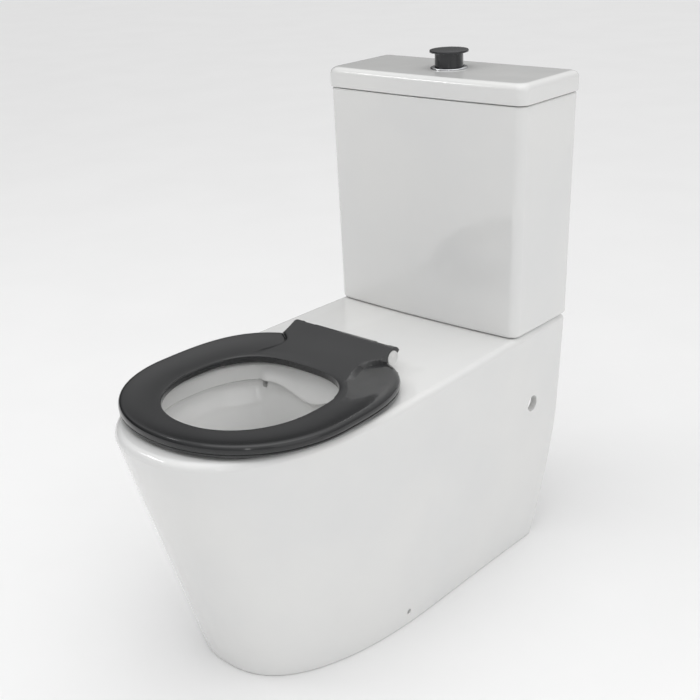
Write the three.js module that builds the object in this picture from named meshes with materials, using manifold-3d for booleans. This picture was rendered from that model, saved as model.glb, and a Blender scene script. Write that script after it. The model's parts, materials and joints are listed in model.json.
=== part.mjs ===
// Close coupled toilet of raised height: a back-to-wall pan with a skirt down to the floor, a ceramic
// cistern on its deck with a raised push button, and a single seat ring on a wrapped barrel hinge.
// Millimetres. +Z is up, the front faces -Y, and the origin is on the floor under the middle.
import * as THREE from "three";
import { mergeVertices } from "three/addons/utils/BufferGeometryUtils.js";
import Module from "manifold-3d";

const wasm = await Module();
wasm.setup();

// ---- Driving dimensions ------------------------------------------------------------------------
const GAP = 0.3; // between pieces that touch

// Pan
const PAN_LENGTH = 800;
const DECK = 427; // height of the flat top that carries seat and cistern
const WALL_Y = PAN_LENGTH / 2;
const FRONT_Y = -PAN_LENGTH / 2;
const CHINA = 12; // thickness of the pan's walls
const DECK_THICK = 14;
const DECK_EDGE_R = 12;
const TOP_PLAN = { back: WALL_Y, wide: -62, tip: FRONT_Y, halfBack: 185, halfWide: 198, power: 2.3 };
const FLOOR_PLAN = { back: 340, wide: 66, tip: -280, halfBack: 164, halfWide: 161, power: 2.5 };
const BACK_STRAIGHT_Z = 250; // the rear edge is upright above this height and runs in below it
const FIXING_HOLE = { r: 14, y: 311, z: 283 };
const FLOOR_SCREW = { r: 4.5, y: -21, z: 26 };

// Bowl, flush channel and trap
const MOUTH = { half: 137, front: -346, back: -52 };
const BOWL_WALL = 10;
const CHANNEL = { half: 38, low: 368, high: 404 };
const HOOD = { half: 92, slit: 12, back: -24 };
const BOWL_REAR_POWER = 2.6; // the bowl is squarer behind its widest line than in front of it
const OUTLET_Z = 185;
const OUTLET_END_Y = 380;
const TRAP_R = 40;
const SUMP_Z = 96;
const LEDGE_Z = 399; // the ledge that carries the flush water round the bowl
const LEDGE_DROP = 7;

// Cistern
const TANK = { low: 431, high: 810, halfLow: 190, halfHigh: 197, front: 235.5, back: 398 };
const TANK_WALL = 9;
const TANK_FLOOR_TOP = TANK.low + 12;
const TANK_CORNER_R = 17;
const TANK_BOW = 5;
const TANK_EDGE_R = 6;
const LID = { low: 811, high: 844, overhang: 1.6, edgeR: 9, rim: 16, top: 8, lip: 8 };
const VALVE = new THREE.Vector3(0, 317, 0); // axis of the button, flush valve and pan inlet
const FILL_X = -140;
const BOLT_X = 85;

// Button
const BUTTON = { neckR: 23.5, capR: 32.5, capLow: 26, rim: 4, dome: 5.2 };
const BEZEL_R = 31;
const SLEEVE = { inner: 24.1, outer: 26.6, drop: 42 };

// Flush and fill valves
const LEVER_ARM = { push: 20, lift: 30 };
const LEVER_PIN = { x: 20, z: 770 };
const TUBE = { inner: 13, outer: 15, top: 735 };
const SEAL_Z = 458.3;
const FLOAT = { low: 600, high: 650, inner: 11, outer: 29, travel: 12 };
const FLOAT_ARM = { pivot: -6, tip: 24, z: 752 };

// Seat: the ring's outer plan and the plan of its hole
const SEAT = { half: 195, wide: -190, tip: -377, back: 22, rearPower: 3, low: 433, lip: 450 };
const HOLE = { half: 123.5, wide: -188, tip: -321, back: -69, rearPower: 2.8 };
const SEAT_FRONT_POWER = 2.1;
const HINGE = { y: 24.5, z: 449, barrelR: 12, wrapR: 18.5, half: 103.5, rodR: 4, knuckle: 57 };
const SEAT_BOLT_X = 77.5;

// ---- Materials ---------------------------------------------------------------------------------
function finish(color, roughness, metalness = 0) {
  return () => new THREE.MeshStandardMaterial({ color, roughness, metalness });
}
const china = finish(0xf2f2f0, 0.12);
const greyGloss = finish(0x33353a, 0.2);
const whitePlastic = finish(0xf4f4f2, 0.35);
const bluePlastic = finish(0x5d7f9d, 0.45);
const greyPlastic = finish(0x9b9ea2, 0.5);
const rubber = finish(0x1d1d1d, 0.85);
const chrome = finish(0xdfe2e6, 0.08, 1);
const steel = finish(0xb9bcc0, 0.3, 1);
const brass = finish(0xb58f4a, 0.35, 1);

// ---- Solids ------------------------------------------------------------------------------------
// A closed geometry as a solid for joining and cutting, turned outwards where it is inside out.
function solid(geometry) {
  const source = geometry.index ? geometry.toNonIndexed() : geometry;
  const bare = new THREE.BufferGeometry().setAttribute("position", source.getAttribute("position"));
  const merged = mergeVertices(bare, 1e-3);
  const corners = [];
  for (let i = 0; i < merged.index.count; i += 3) {
    const [a, b, c] = [0, 1, 2].map((k) => merged.index.getX(i + k));
    if (a !== b && b !== c && c !== a) corners.push(a, b, c);
  }
  const vertProperties = new Float32Array(merged.attributes.position.array);
  const made = new wasm.Manifold(
    new wasm.Mesh({ numProp: 3, vertProperties, triVerts: new Uint32Array(corners) }),
  );
  if (made.volume() > 0) return made;
  return new wasm.Manifold(
    new wasm.Mesh({ numProp: 3, vertProperties, triVerts: new Uint32Array(corners.reverse()) }),
  );
}

function join(first, ...others) {
  return others.reduce((sum, next) => sum.add(next), first);
}

function cut(body, ...tools) {
  return tools.reduce((rest, tool) => rest.subtract(tool), body);
}

function box(x0, x1, y0, y1, z0, z1) {
  const geometry = new THREE.BoxGeometry(x1 - x0, y1 - y0, z1 - z0);
  return solid(geometry.translate((x0 + x1) / 2, (y0 + y1) / 2, (z0 + z1) / 2));
}

// An upright cylinder or prism from z0 to z1.
function post(r, z0, z1, sides = 20, x = 0, y = 0) {
  const geometry = new THREE.CylinderGeometry(r, r, z1 - z0, sides).rotateX(Math.PI / 2);
  return solid(geometry.translate(x, y, (z0 + z1) / 2));
}

// A cylinder lying along X from x0 to x1.
function bar(r, x0, x1, y, z, sides = 20) {
  const geometry = new THREE.CylinderGeometry(r, r, x1 - x0, sides).rotateZ(Math.PI / 2);
  return solid(geometry.translate((x0 + x1) / 2, y, z));
}

// A cylinder lying along Y from y0 to y1.
function pin(r, y0, y1, x, z, sides = 12) {
  const geometry = new THREE.CylinderGeometry(r, r, y1 - y0, sides);
  return solid(geometry.translate(x, (y0 + y1) / 2, z));
}

// A turned solid about Z. The outline is a list of [radius, height] that starts and ends on the axis.
function turned(outline, sides = 20) {
  const points = outline.map(([r, z]) => new THREE.Vector2(r, z));
  return solid(new THREE.LatheGeometry(points, sides).rotateX(Math.PI / 2));
}

// A ring about Z, whose outline closes on itself.
function ring(inner, outer, z0, z1, sides = 20) {
  return turned([[inner, z0], [outer, z0], [outer, z1], [inner, z1], [inner, z0]], sides);
}

function circle(r) {
  return new THREE.Shape().absarc(0, 0, r, 0, Math.PI * 2);
}

// A round bar that follows a smooth curve through the given points.
function along(points, r, steps, curveSegments = 8) {
  const path = new THREE.CatmullRomCurve3(points.map((p) => new THREE.Vector3(...p)));
  return solid(new THREE.ExtrudeGeometry(circle(r), { steps, extrudePath: path, curveSegments }));
}

// A solid built up from levels. The outline is flat, and place(x, y, level) puts each of its points.
function loft(outline, levels, place, curveSegments = 12) {
  const steps = levels.length - 1;
  const settings = { depth: steps, steps, bevelEnabled: false, curveSegments };
  const geometry = new THREE.ExtrudeGeometry(outline, settings);
  const spots = geometry.getAttribute("position");
  for (let i = 0; i < spots.count; i++) {
    const level = levels[Math.round(spots.getZ(i))];
    const [x, y] = place(spots.getX(i), spots.getY(i), level);
    spots.setXYZ(i, x, y, level.z);
  }
  return solid(geometry);
}

// Levels of a rounded edge of radius r that ends at height z, going up (1) or down (-1).
function roundedEdge(z, r, way, count = 3) {
  const levels = [];
  for (let i = 0; i <= count; i++) {
    const angle = (i / count) * (Math.PI / 2);
    levels.push({ z: z - way * r * (1 - Math.sin(angle)), inset: r * (1 - Math.cos(angle)) });
  }
  return way > 0 ? levels : levels.reverse();
}

const toilet = new THREE.Group();

// Adds one sub-part, placed at (x, y, z).
function piece(name, material, made, x = 0, y = 0, z = 0) {
  const { numProp, vertProperties, triVerts } = made.getMesh();
  const points = new THREE.BufferAttribute(new Float32Array(vertProperties), numProp);
  const geometry = new THREE.BufferGeometry().setAttribute("position", points);
  geometry.setIndex(new THREE.BufferAttribute(new Uint32Array(triVerts), 1));
  geometry.computeVertexNormals();
  const mesh = new THREE.Mesh(geometry, material());
  mesh.name = name;
  mesh.position.set(x, y, z);
  toilet.add(mesh);
}

function sides(build) {
  for (const [side, sign] of [["left", -1], ["right", 1]]) build(side, sign);
}

// ---- Pan ---------------------------------------------------------------------------------------
// The plan of the skirt: a half round nose at y < 0 and straight sides up to y = 1.
function skirtOutline() {
  const shape = new THREE.Shape();
  shape.moveTo(1, 0);
  for (const y of [0.35, 0.7, 1]) shape.lineTo(1, y);
  for (const y of [1, 0.7, 0.35, 0]) shape.lineTo(-1, y);
  shape.absarc(0, 0, 1, Math.PI, Math.PI * 2);
  return shape;
}

function mix(low, high, t) {
  return low + (high - low) * t;
}

function rearEdge(z) {
  const below = Math.max(0, (BACK_STRAIGHT_Z - z) / BACK_STRAIGHT_Z);
  return WALL_Y - (WALL_Y - FLOOR_PLAN.back) * below ** 1.6;
}

// Where a point of the skirt's outline lies at one level, moved in by the level's inset.
function skirtPoint(u, v, level) {
  const t = Math.min(1, level.z / (DECK - DECK_EDGE_R));
  const plan = {};
  for (const key of Object.keys(TOP_PLAN)) plan[key] = mix(FLOOR_PLAN[key], TOP_PLAN[key], t);
  const wide = plan.halfWide - level.inset;
  if (v >= 0) {
    const back = rearEdge(level.z) - (level.openBack ? -50 : level.inset);
    const half = mix(wide, plan.halfBack - level.inset, v ** 2);
    return [u * half, mix(plan.wide, back, v)];
  }
  const across = Math.abs(u) ** (2 / plan.power);
  const ahead = Math.abs(v) ** (2 / plan.power);
  return [Math.sign(u) * wide * across, mix(plan.wide, plan.tip + level.inset, ahead)];
}

function skirtShell() {
  const upright = [0, 80, 160, 250, 330].map((z) => ({ z, inset: 0 }));
  const outside = loft(skirtOutline(), [...upright, ...roundedEdge(DECK, DECK_EDGE_R, 1)], skirtPoint);
  const heights = [-1, 80, 160, 250, 330, DECK - DECK_THICK];
  const levels = heights.map((z) => ({ z, inset: CHINA, openBack: true }));
  return cut(outside, loft(skirtOutline(), levels, skirtPoint));
}

// The bowl's inside from the mouth down: an upright rim, a ledge that carries the flush water
// round, and a wall that falls towards the sump at the back.
const BOWL_LEVELS = [
  { z: SUMP_Z, half: 34, front: -150, back: -62 },
  { z: 118, half: 44, front: -170, back: -52 },
  { z: 170, half: 58, front: -200, back: -50 },
  { z: 230, half: 80, front: -248, back: -50 },
  { z: 300, half: 103, front: -296, back: -52 },
  { z: 360, half: 118, front: -326, back: -55 },
  { z: LEDGE_Z - LEDGE_DROP, half: 124, front: -336, back: -60 },
  { z: LEDGE_Z, half: MOUTH.half - 1, front: MOUTH.front + 1, back: MOUTH.back - 1 },
  { z: DECK + 2, half: MOUTH.half, front: MOUTH.front, back: MOUTH.back },
];

function bowlPoint(u, v, level) {
  const middle = (level.front + level.back) / 2;
  const reach = (level.back - level.front) / 2;
  const share = 2 / (v > 0 ? BOWL_REAR_POWER : 2);
  const x = Math.sign(u) * level.half * Math.abs(u) ** share;
  return [x, middle + Math.sign(v) * reach * Math.abs(v) ** share];
}

function bowlOutside() {
  const levels = BOWL_LEVELS.filter((level) => level.z !== LEDGE_Z - LEDGE_DROP).map((level) => ({
    z: Math.min(level.z, DECK - 4) - (level.z === SUMP_Z ? BOWL_WALL : 0),
    half: level.half + BOWL_WALL,
    front: level.front - BOWL_WALL,
    back: level.back + BOWL_WALL,
  }));
  return loft(circle(1), levels, bowlPoint, 12);
}

// The way out: back from the sump, up over the weir and down to the outlet in the wall's direction.
function trap(r, startY, endY) {
  const route = [
    [0, startY, 138],
    [0, -40, 136],
    [0, 30, 156],
    [0, 100, 214],
    [0, 165, 228],
    [0, 240, 196],
    [0, 310, OUTLET_Z],
    [0, endY, OUTLET_Z],
  ];
  return along(route, r, 14, 7);
}

function pan() {
  const { half, low, high } = CHANNEL;
  const inletY = VALVE.y;
  const body = join(
    skirtShell(),
    bowlOutside(),
    trap(TRAP_R + BOWL_WALL, -70, OUTLET_END_Y),
    box(-half - 8, half + 8, -60, inletY + 20, low - 8, DECK - 5),
    box(-HOOD.half - 8, HOOD.half + 8, -112, HOOD.back + 8, low - 8, DECK - 5),
    post(62, low - 8, DECK - 5, 28, 0, inletY),
  );
  const slits = [-1, 1].map((way) => {
    const outer = way * HOOD.half;
    const inner = way * (HOOD.half - HOOD.slit);
    return box(Math.min(inner, outer), Math.max(inner, outer), -118, HOOD.back - 8, low, high - 4);
  });
  const bolts = [
    ...[-BOLT_X, BOLT_X].map((x) => post(7, DECK - 40, DECK + 5, 16, x, inletY)),
    ...[-SEAT_BOLT_X, SEAT_BOLT_X].map((x) => post(6, DECK - 40, DECK + 5, 16, x, HINGE.y)),
    post(24, DECK - 40, DECK + 5, 24, FILL_X, inletY),
  ];
  return cut(
    body,
    loft(circle(1), BOWL_LEVELS, bowlPoint, 14),
    trap(TRAP_R, -110, OUTLET_END_Y + 20),
    box(-half, half, HOOD.back - 8, inletY + 12, low, high),
    box(-HOOD.half, HOOD.half, MOUTH.back + 8, HOOD.back, low, high),
    ...slits,
    post(50, 401, DECK + 5, 28, 0, inletY),
    post(34, low + 2, DECK, 28, 0, inletY),
    ...bolts,
    bar(FIXING_HOLE.r, -220, 220, FIXING_HOLE.y, FIXING_HOLE.z, 24),
    bar(FLOOR_SCREW.r, -220, 220, FLOOR_SCREW.y, FLOOR_SCREW.z, 14),
  );
}

// ---- Cistern -----------------------------------------------------------------------------------
// The cistern's plan: a rounded rectangle with a slightly bowed front.
function tankOutline() {
  const { halfLow: half, front, back } = TANK;
  const rear = 8;
  const r = TANK_CORNER_R;
  const shape = new THREE.Shape();
  shape.moveTo(half, front + r);
  shape.lineTo(half, back - rear);
  shape.absarc(half - rear, back - rear, rear, 0, Math.PI / 2);
  shape.lineTo(-half + rear, back);
  shape.absarc(-half + rear, back - rear, rear, Math.PI / 2, Math.PI);
  shape.lineTo(-half, front + r);
  shape.absarc(-half + r, front + r, r, Math.PI, Math.PI * 1.5);
  shape.quadraticCurveTo(0, front - 2 * TANK_BOW, half - r, front);
  shape.absarc(half - r, front + r, r, Math.PI * 1.5, Math.PI * 2);
  return shape;
}

function tankPoint(x, y, level) {
  const { low, high, halfLow, halfHigh, front, back } = TANK;
  const t = Math.min(1, Math.max(0, (level.z - low) / (high - low)));
  const half = mix(halfLow, halfHigh, t);
  const middle = (front + back) / 2;
  const depth = (back - front) / 2;
  return [(x * (half - level.inset)) / halfLow, middle + ((y - middle) * (depth - level.inset)) / depth];
}

function tankBlock(levels) {
  return loft(tankOutline(), levels, tankPoint, 3);
}

function tank() {
  const { low, high } = TANK;
  const outside = tankBlock([...roundedEdge(low, TANK_EDGE_R, -1), { z: high, inset: 0 }]);
  const inside = tankBlock([{ z: TANK_FLOOR_TOP, inset: TANK_WALL }, { z: high + 5, inset: TANK_WALL }]);
  const hole = (r, sides, x) => post(r, low - 5, TANK_FLOOR_TOP + 5, sides, x, VALVE.y);
  const boltHoles = [-BOLT_X, BOLT_X].map((x) => hole(5.5, 16, x));
  return cut(outside, inside, hole(32, 28, 0), ...boltHoles, hole(12, 20, FILL_X));
}

function lid() {
  const { low, high, overhang, edgeR, rim, top, lip } = LID;
  const edge = roundedEdge(high, edgeR, 1).map(({ z, inset }) => ({ z, inset: inset - overhang }));
  const outside = tankBlock([{ z: low, inset: -overhang }, ...edge]);
  const hollow = tankBlock([{ z: low - lip - 5, inset: rim }, { z: high - top, inset: rim }]);
  const inTank = TANK_WALL + 2;
  const tongue = tankBlock([{ z: low - lip, inset: inTank }, { z: low + 2, inset: inTank }]);
  const buttonHole = post(SLEEVE.outer + 0.6, high - top - 5, high + 5, 32, 0, VALVE.y);
  return cut(join(outside, tongue), hollow, buttonHole);
}

// ---- Button, built upwards from the top of the lid ----------------------------------------------
function bezel() {
  const { inner, outer, drop } = SLEEVE;
  return turned([
    [7.5, -drop], [outer, -drop], [outer, GAP], [BEZEL_R, GAP], [BEZEL_R, 1.8], [BEZEL_R - 1.4, 3],
    [inner, 3], [inner, 3 - drop], [7.5, 3 - drop], [7.5, -drop],
  ], 32);
}

function buttonCap() {
  const { neckR, capR, capLow, rim, dome } = BUTTON;
  return turned([
    [0, capLow - 2], [neckR - 3, capLow - 2], [neckR - 3, -6], [neckR, -6], [neckR, capLow - 1.5],
    [neckR + 1.5, capLow], [capR - 1, capLow], [capR, capLow + 1], [capR, capLow + rim - 1],
    [capR - 1.2, capLow + rim], [capR * 0.55, capLow + dome - 0.2], [0, capLow + dome],
  ], 36);
}

function springCoil(low, high, r, wireR, turns) {
  const points = [];
  const perTurn = 8;
  for (let i = 0; i <= turns * perTurn; i++) {
    const angle = (i / perTurn) * Math.PI * 2;
    points.push([r * Math.cos(angle), r * Math.sin(angle), mix(low, high, i / (turns * perTurn))]);
  }
  return along(points, wireR, turns * 8, 3);
}

function buttonParts() {
  const { x, y } = VALVE;
  const top = LID.high;
  piece("button_bezel", chrome, bezel(), x, y, top);
  piece("button_nut", whitePlastic, ring(SLEEVE.outer + GAP, 34, -17, -LID.top - GAP, 28), x, y, top);
  piece("flush_button", greyGloss, buttonCap(), x, y, top);
  const rodTop = BUTTON.capLow - 2 - GAP;
  const rodEnd = LEVER_PIN.z + 9 - top;
  const collar = post(9, -SLEEVE.drop - 5, -SLEEVE.drop - GAP, 16);
  piece("push_rod", greyPlastic, join(post(5, rodEnd, rodTop, 14), collar), x, y, top);
  const springLow = 3 - SLEEVE.drop + 1.3;
  piece("button_spring", steel, springCoil(springLow, rodTop - 1.3, 9, 0.9, 5), x, y, top);
}

// ---- Flush valve, on the cistern's floor over the pan's inlet -----------------------------------
function valveBase() {
  return turned([
    [25, 405], [29.5, 405], [29.5, 446.3], [44, 446.3], [44, 450], [30, 450], [30, 458], [27, 458],
    [25, 455], [25, 405],
  ]);
}

function valveCage() {
  const wall = ring(38, 41, 450.3, 522);
  const windows = [0, 1, 2].map((i) => {
    const geometry = new THREE.BoxGeometry(100, 26, 44);
    return solid(geometry.rotateZ((i * Math.PI) / 3).translate(0, 0, 482));
  });
  const roof = ring(TUBE.outer + 1, 41, 520, 525);
  const uprights = [-1, 1].map((way) => {
    const near = way * 17.5;
    const far = way * 22;
    const [y0, y1] = [Math.min(near, far), Math.max(near, far)];
    return join(box(-7, 7, y0, y1, 524, 782), box(-7, 28, y0, y1, 762, 782));
  });
  const cheeks = [-1, 1].map((way) => {
    const [y0, y1] = way < 0 ? [-18, -10] : [10, 18];
    return box(13, 27, y0, y1, 762, 779);
  });
  const hole = pin(2.3, -30, 30, LEVER_PIN.x, LEVER_PIN.z);
  return cut(join(cut(wall, ...windows), roof, ...uprights, ...cheeks), hole);
}

function liftLever() {
  const { x, z } = LEVER_PIN;
  const tip = x + LEVER_ARM.lift;
  const bodyBar = box(-4, tip + 3, -8, 8, z - 3.5, z + 3.5);
  const nose = pin(4.5, -8, 8, x - LEVER_ARM.push, z + 3.9);
  const fork = box(tip - 6, tip + 12, -3.2, 3.2, z - 6, z + 6);
  return cut(join(bodyBar, nose), fork, pin(2.3, -20, 20, x, z));
}

function liftLink() {
  const x = LEVER_PIN.x + LEVER_ARM.lift;
  return join(
    post(2, 705, LEVER_PIN.z + 5, 10, x),
    post(5, LEVER_PIN.z + 4, LEVER_PIN.z + 7, 12, x),
    post(5, 700, 706, 12, x),
  );
}

function overflowTube() {
  const lug = box(TUBE.outer - 1, LEVER_PIN.x + LEVER_ARM.lift + 6, -5, 5, 694, 699.7);
  return join(ring(TUBE.inner, TUBE.outer, SEAL_Z - 6, TUBE.top), ring(TUBE.inner, 20, 463, 467), lug);
}

function flushValveParts() {
  const { x, y } = VALVE;
  piece("flush_valve_base", whitePlastic, valveBase(), x, y);
  piece("flush_valve_washer", rubber, ring(33, 42, 443.3, 446), x, y);
  const nut = cut(post(37, 420, 430.7, 8), post(29.8, 410, 440, 24));
  piece("flush_valve_nut", whitePlastic, nut, x, y);
  piece("pan_coupling_gasket", rubber, ring(38, 49, 401.3, 430.6, 28), x, y);
  piece("flush_valve_cage", bluePlastic, valveCage(), x, y);
  piece("overflow_tube", whitePlastic, overflowTube(), x, y);
  piece("flush_seal", rubber, ring(TUBE.outer + GAP, 32, SEAL_Z, 462.7), x, y);
  piece("lift_link", steel, liftLink(), x, y);
  piece("lift_lever", whitePlastic, liftLever(), x, y);
  piece("lever_pin", steel, pin(2, -21, 21, LEVER_PIN.x, LEVER_PIN.z), x, y);
}

// ---- Fill valve, at the left of the cistern ------------------------------------------------------
function fillBody() {
  return join(
    turned([
      [0, 385], [9.5, 385], [9.5, 446.3], [18, 446.3], [18, 449], [9, 449], [9, 594], [13, 594],
      [13, 599], [9, 599], [9, 700], [16, 700], [16, 745], [0, 745],
    ], 20),
    ...[-1, 1].map((way) => {
      const [y0, y1] = way < 0 ? [-9, -5] : [5, 9];
      return box(-12, -1, y0, y1, 744, 757);
    }),
  );
}

function fillHead() {
  const shell = turned([[0, 745.3], [16, 745.3], [17, 747], [17, 760], [14, 763], [0, 763]], 20);
  return cut(shell, box(-20, 40, -10, 10, 740, 762));
}

// The arm at rest slopes down to the float's rod by half of its swing.
function floatArm() {
  const length = FLOAT_ARM.tip - FLOAT_ARM.pivot;
  const swing = Math.asin(FLOAT.travel / 2 / length);
  const geometry = new THREE.BoxGeometry(length + 8, 8, 4).translate(length / 2, 0, 0);
  const arm = solid(geometry.rotateY(swing).translate(FLOAT_ARM.pivot, 0, FLOAT_ARM.z));
  return cut(arm, pin(1.8, -10, 10, FLOAT_ARM.pivot, FLOAT_ARM.z, 10));
}

function floatCup() {
  const { low, high, inner, outer } = FLOAT;
  return turned([
    [inner, low], [inner + 3, low], [inner + 3, high - 4], [outer - 2, high - 4], [outer - 2, low],
    [outer, low], [outer, high], [inner, high], [inner, low],
  ]);
}

function fillValveParts() {
  const { y } = VALVE;
  const pinHole = pin(1.8, -12, 12, FLOAT_ARM.pivot, FLOAT_ARM.z, 10);
  piece("fill_valve_body", whitePlastic, cut(fillBody(), pinHole), FILL_X, y);
  piece("fill_valve_washer", rubber, ring(9.9, 17, 443.3, 446), FILL_X, y);
  const nut = cut(post(17, 421, 430.7, 6), post(9.8, 410, 440, 20));
  piece("fill_valve_nut", whitePlastic, nut, FILL_X, y);
  piece("fill_valve_cap", bluePlastic, fillHead(), FILL_X, y);
  piece("float_cup", bluePlastic, floatCup(), FILL_X, y);
  const tipZ = FLOAT_ARM.z - FLOAT.travel / 2 - 3;
  const rod = join(post(2, FLOAT.high + GAP, tipZ, 10), post(4, FLOAT.high + GAP, FLOAT.high + 4, 10));
  piece("float_rod", greyPlastic, rod, FILL_X + FLOAT_ARM.tip, y);
  piece("float_arm", whitePlastic, floatArm(), FILL_X, y);
  piece("float_arm_pin", steel, pin(1.5, -8.7, 8.7, FLOAT_ARM.pivot, FLOAT_ARM.z, 10), FILL_X, y);
}

// ---- Bolts that hold the cistern to the pan ------------------------------------------------------
function wingNut(bore, top) {
  const body = turned([[0, top - 12], [7, top - 12], [10, top], [0, top]], 16);
  const wings = box(-2, 2, -18, 18, top - 14, top - 3);
  return cut(join(body, wings), post(bore, top - 20, top + 5, 14));
}

function couplingParts() {
  const floorTop = TANK_FLOOR_TOP;
  const under = DECK - DECK_THICK;
  sides((side, sign) => {
    const x = sign * BOLT_X;
    const bolt = join(post(4, 380, floorTop + 9, 12), post(8.5, floorTop + 8.7, floorTop + 14, 6));
    const cone = turned([
      [4.3, floorTop + GAP], [16, floorTop + GAP], [16, floorTop + 4], [10, floorTop + 8.4],
      [4.3, floorTop + 8.4], [4.3, floorTop + GAP],
    ], 18);
    piece("coupling_bolt_" + side, brass, bolt, x, VALVE.y);
    piece("coupling_seal_" + side, rubber, cone, x, VALVE.y);
    piece("coupling_washer_" + side, brass, ring(4.3, 13, under - 2.3, under - GAP, 18), x, VALVE.y);
    piece("coupling_nut_" + side, brass, wingNut(4.3, under - 2.6), x, VALVE.y);
  });
}

// ---- Seat --------------------------------------------------------------------------------------
// A point on an egg shaped plan, with its own half lengths and powers ahead of and behind the widest line.
function eggPoint(plan, angle) {
  const across = Math.cos(angle);
  const back = Math.sin(angle);
  const power = back < 0 ? SEAT_FRONT_POWER : plan.rearPower;
  const reach = back < 0 ? plan.wide - plan.tip : plan.back - plan.wide;
  const x = Math.sign(across) * plan.half * Math.abs(across) ** (2 / power);
  return [x, plan.wide + Math.sign(back) * reach * Math.abs(back) ** (2 / power)];
}

// The ring's section from its inner edge (0) to its outer edge (1), with heights.
const SEAT_SECTION = [
  [0, SEAT.low + 3], [0.06, SEAT.low], [0.93, SEAT.low], [1, SEAT.low + 4], [1, SEAT.low + 11],
  [0.96, SEAT.lip - 1], [0.9, SEAT.lip], [0.78, SEAT.lip - 2], [0.4, SEAT.lip - 5], [0.08, SEAT.lip - 5],
  [0, SEAT.lip - 9],
];

function seatRing() {
  const outline = [...SEAT_SECTION, SEAT_SECTION[0]].map(([s, z]) => new THREE.Vector2(1 + s, z));
  const geometry = new THREE.LatheGeometry(outline, 48).rotateX(Math.PI / 2);
  const spots = geometry.getAttribute("position");
  for (let i = 0; i < spots.count; i++) {
    const angle = Math.atan2(spots.getY(i), spots.getX(i));
    const s = Math.hypot(spots.getX(i), spots.getY(i)) - 1;
    const [x0, y0] = eggPoint(HOLE, angle);
    const [x1, y1] = eggPoint(SEAT, angle);
    spots.setXYZ(i, mix(x0, x1, s), mix(y0, y1, s), spots.getZ(i));
  }
  return solid(geometry);
}

// The raised block at the back, in side view: it slopes up from the ring and wraps over the barrel.
function hingeBlock() {
  const { y, z, wrapR, barrelR, half } = HINGE;
  const shape = new THREE.Shape();
  shape.moveTo(HOLE.back + 1, SEAT.low + 1);
  shape.lineTo(y - barrelR - 3, SEAT.low + 1);
  shape.lineTo(y + barrelR - 2, z - 9);
  shape.lineTo(y + barrelR * 0.9, z + barrelR * 0.5);
  shape.absarc(y, z, wrapR, 0.75, 1.68, false);
  shape.lineTo(HOLE.back + 8, SEAT.lip - 3);
  shape.lineTo(HOLE.back + 1, SEAT.lip - 6);
  const settings = { depth: 2 * half, bevelEnabled: false, curveSegments: 6 };
  const geometry = new THREE.ExtrudeGeometry(shape, settings);
  return solid(geometry.rotateY(Math.PI / 2).rotateX(Math.PI / 2).translate(-half, 0, 0));
}

function seat() {
  const { y, z, barrelR, half, rodR, knuckle } = HINGE;
  const room = barrelR + 0.6;
  const reliefs = [];
  for (const way of [-1, 1]) {
    const span = (inner, outer) => (way > 0 ? [inner, outer] : [-outer, -inner]);
    const [x0, x1] = span(knuckle + 0.5, half + 3);
    reliefs.push(bar(room, x0, x1, y, z, 28));
    reliefs.push(box(x0, x1, y - room, y + 40, DECK, z));
    const [n0, n1] = span(SEAT_BOLT_X - 15, SEAT_BOLT_X + 15);
    reliefs.push(box(n0, n1, y + 3, y + 40, DECK, z + 40));
  }
  reliefs.push(bar(rodR + GAP, -half, half, y, z, 16));
  return cut(join(seatRing(), hingeBlock()), ...reliefs);
}

function hingeBarrel(sign) {
  const { y, z, barrelR, half, knuckle, rodR } = HINGE;
  const [x0, x1] = sign > 0 ? [knuckle + 1, half + 1] : [-half - 1, -knuckle - 1];
  const centre = sign * SEAT_BOLT_X;
  const foot = box(centre - 12, centre + 12, y - 8.5, y + 8.5, DECK + 2.6, z);
  const rodEnd = sign > 0 ? [0, 68.5] : [-68.5, 0];
  return cut(
    join(bar(barrelR, x0, x1, y, z, 28), foot),
    bar(rodR + GAP, ...rodEnd, y, z, 16),
    post(4.3, DECK, z + 20, 12, centre, y),
    post(7, z - 2, z + 20, 16, centre, y),
  );
}

function seatParts() {
  const { y, z, rodR } = HINGE;
  const under = DECK - DECK_THICK;
  piece("seat_ring", greyGloss, seat());
  piece("hinge_rod", steel, bar(rodR, -68, 68, y, z, 14));
  sides((side, sign) => {
    const x = sign * SEAT_BOLT_X;
    piece("hinge_barrel_" + side, whitePlastic, hingeBarrel(sign));
    const bolt = join(post(4, under - 32, z - 1.7, 12), post(6.5, z - 1.7, z + 3, 6));
    piece("hinge_bolt_" + side, steel, bolt, x, y);
    piece("hinge_seal_" + side, rubber, ring(4.5, 12, DECK + GAP, DECK + 2.3, 18), x, y);
    const nut = turned([
      [4.3, under - 14], [8, under - 14], [8, under - 4], [12, under - 3], [12, under - GAP],
      [4.3, under - GAP], [4.3, under - 14],
    ], 16);
    piece("hinge_nut_" + side, whitePlastic, nut, x, y);
    const pad = turned([[0, DECK + GAP], [9, DECK + GAP], [10, SEAT.low - GAP], [0, SEAT.low - GAP]], 16);
    piece("seat_buffer_front_" + side, rubber, pad, sign * 117, -305);
    piece("seat_buffer_rear_" + side, rubber, pad, sign * 152, -62);
  });
}

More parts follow.
